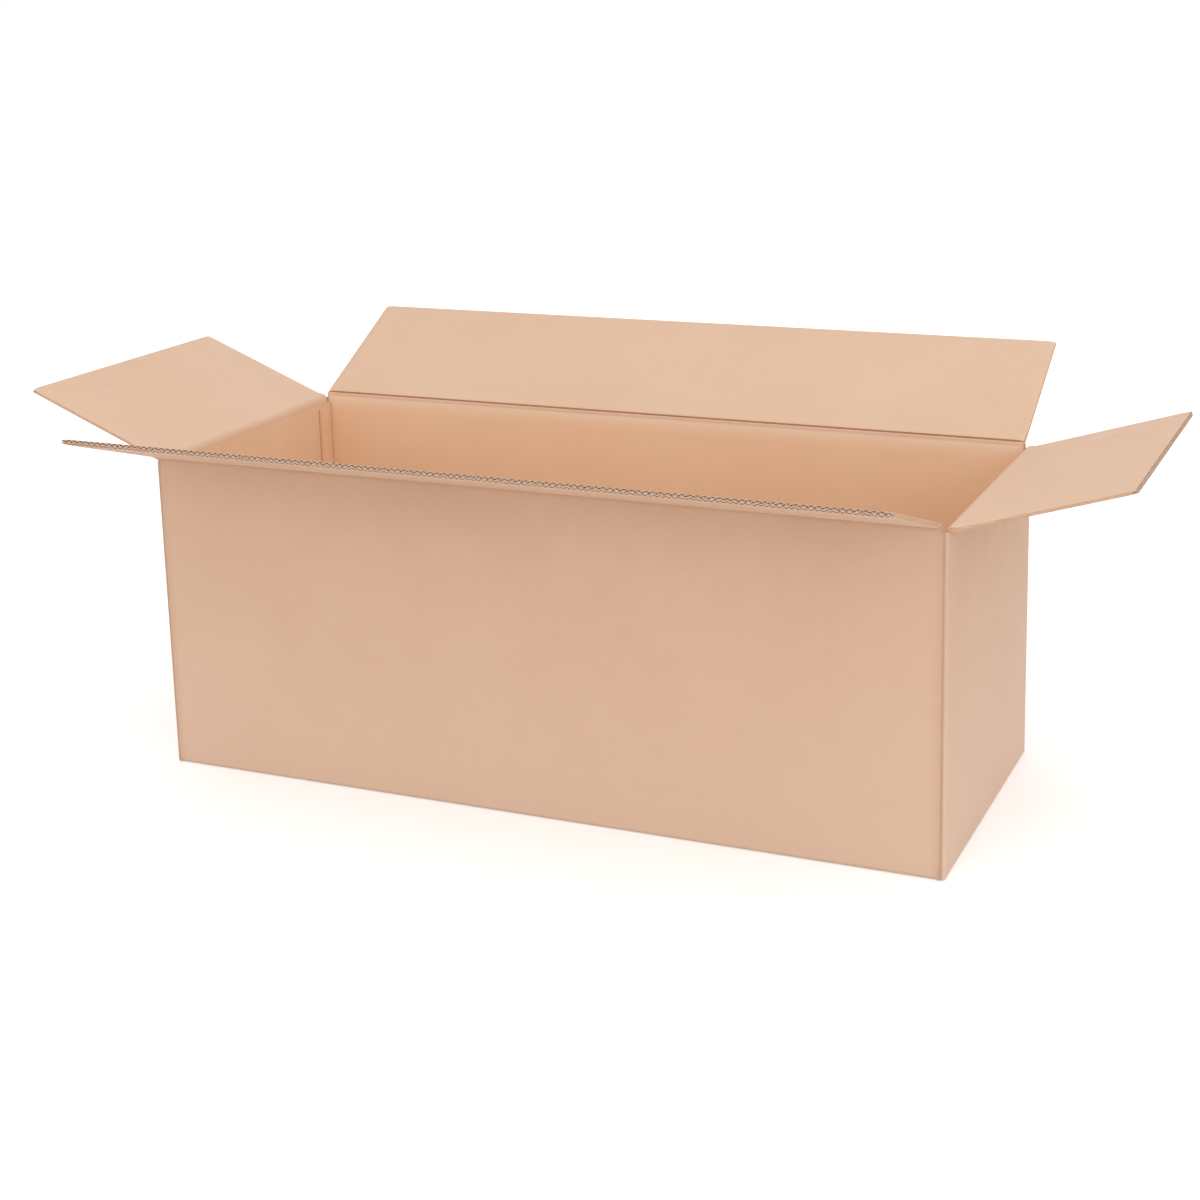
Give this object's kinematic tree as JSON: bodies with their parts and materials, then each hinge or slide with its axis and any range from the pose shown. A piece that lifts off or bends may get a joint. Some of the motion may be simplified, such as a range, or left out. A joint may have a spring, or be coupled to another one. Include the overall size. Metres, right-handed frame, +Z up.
{
  "type": "open cardboard box",
  "caption": "Long slotted carton of double-wall corrugated board, folded from a single blank, standing with its top flaps open on pressed creases.",
  "frame": {"origin": "on the floor under the middle of the box, on the underside of the bottom tape", "axes": "+X along the long walls, +Y from the front wall to the rear wall, +Z up"},
  "size_m": [1.3782, 0.7552, 0.4951],
  "materials": {
    "board": "matt brown kraft paper liners",
    "tape": "thin brown packing tape"
  },
  "bodies": {
    "carton": {"carton_body": "board", "bottom_tape": "tape"},
    "front_flap": {"front_flap": "board"},
    "back_flap": {"back_flap": "board"},
    "left_flap": {"left_flap": "board"},
    "right_flap": {"right_flap": "board"}
  },
  "joints": [
    {"name": "front_flap_crease", "type": "hinge", "parent": "carton", "child": "front_flap", "pos_m": [0, -0.1965, 0.4], "axis": [1, 0, 0], "range_deg": [-162, 63]},
    {"name": "back_flap_crease", "type": "hinge", "parent": "carton", "child": "back_flap", "pos_m": [0, 0.1965, 0.4], "axis": [-1, 0, 0], "range_deg": [-152, 73]},
    {"name": "left_flap_crease", "type": "hinge", "parent": "carton", "child": "left_flap", "pos_m": [-0.4965, 0, 0.3927], "axis": [0, -1, 0], "range_deg": [-158, 67]},
    {"name": "right_flap_crease", "type": "hinge", "parent": "carton", "child": "right_flap", "pos_m": [0.4965, 0, 0.3927], "axis": [0, 1, 0], "range_deg": [-163, 62]}
  ]
}
